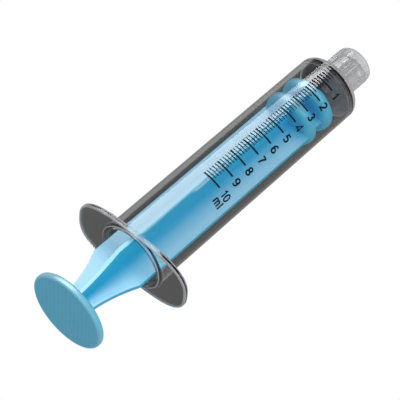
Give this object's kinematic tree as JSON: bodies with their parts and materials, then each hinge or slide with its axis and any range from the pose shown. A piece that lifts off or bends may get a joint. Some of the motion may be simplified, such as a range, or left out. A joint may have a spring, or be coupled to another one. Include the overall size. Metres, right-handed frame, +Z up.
{
  "type": "oral syringe",
  "caption": "Clear syringe barrel with an oval finger flange and a ribbed luer-lock collar, and a sliding blue plunger rod with a round thumb rest and soft seals.",
  "frame": {"origin": "on the surface that the syringe lies on, below the middle of its length and width", "axes": "+X along the syringe's axis towards the tip, +Y along the finger flange's long axis, +Z up through the graduations"},
  "size_m": [0.1068, 0.034, 0.0214],
  "materials": {
    "smoke_clear_plastic": "transparent smoke-tinted moulded plastic, polished",
    "clear_plastic": "clear moulded plastic, lightly frosted by its ribs and thread",
    "blue_plastic": "light-blue opaque moulded plastic, satin",
    "blue_elastomer": "light-blue soft elastomer, satin"
  },
  "bodies": {
    "barrel": {"barrel": "smoke_clear_plastic", "luer_lock_collar": "clear_plastic"},
    "seals": {"front_seal_ring": "blue_elastomer", "rear_seal_ring": "blue_elastomer"},
    "plunger_rod": {"plunger_rod": "blue_plastic"}
  },
  "joints": [
    {"name": "plunger_slide", "type": "slide", "parent": "barrel", "child": "seals", "axis": [1, 0, 0], "range_m": [-0.0553, 0.0055]},
    {"name": "plunger_spin", "type": "hinge", "parent": "seals", "child": "plunger_rod", "pos_m": [0.0302, 0, 0.0107], "axis": [1, 0, 0], "continuous": true}
  ]
}
